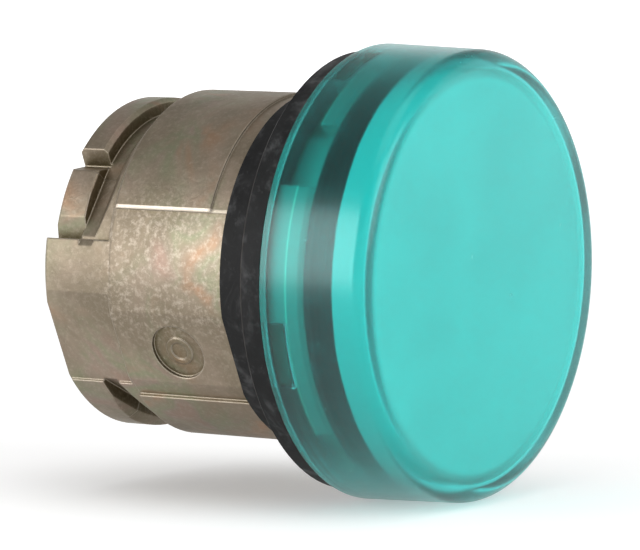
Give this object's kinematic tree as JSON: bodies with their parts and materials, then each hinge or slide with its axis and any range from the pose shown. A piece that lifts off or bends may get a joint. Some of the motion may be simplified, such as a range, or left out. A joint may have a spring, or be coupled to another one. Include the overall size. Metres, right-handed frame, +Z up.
{
  "type": "pilot light head",
  "caption": "Round panel pilot light head: green tinted lens with a twist-off bayonet skirt, milky diffuser, rubber gasket, and a die-cast barrel for a 22.5 mm panel hole.",
  "frame": {"origin": "on the head's axis, in the plane of the panel's front face, which is the rear face of the gasket's flange", "axes": "+Y along the axis, from the lens through the panel to the collar end; +Z up, with the side panel and its round pad on the -X side"},
  "size_m": [0.029, 0.0266, 0.029],
  "materials": {
    "die_casting": "zinc die casting with a yellowish passivated skin, satin, with faint colour clouds and a grainy cast surface",
    "gasket_rubber": "matt black moulded rubber, faintly mottled",
    "seal_rubber": "smooth black moulded rubber",
    "tinted_lens": "clear polycarbonate with a blue-green tint, polished",
    "milky_plastic": "translucent milky white plastic, smooth"
  },
  "bodies": {
    "head": {"head_body": "die_casting", "panel_gasket": "gasket_rubber", "lens_seal": "seal_rubber"},
    "lens": {"lens_cap": "tinted_lens", "diffuser": "milky_plastic"}
  },
  "joints": [
    {"name": "lens_twist", "type": "hinge", "parent": "head", "child": "lens", "pos_m": [0, -0.0055, 0], "axis": [0, -1, 0], "range_deg": [0, 34]}
  ]
}
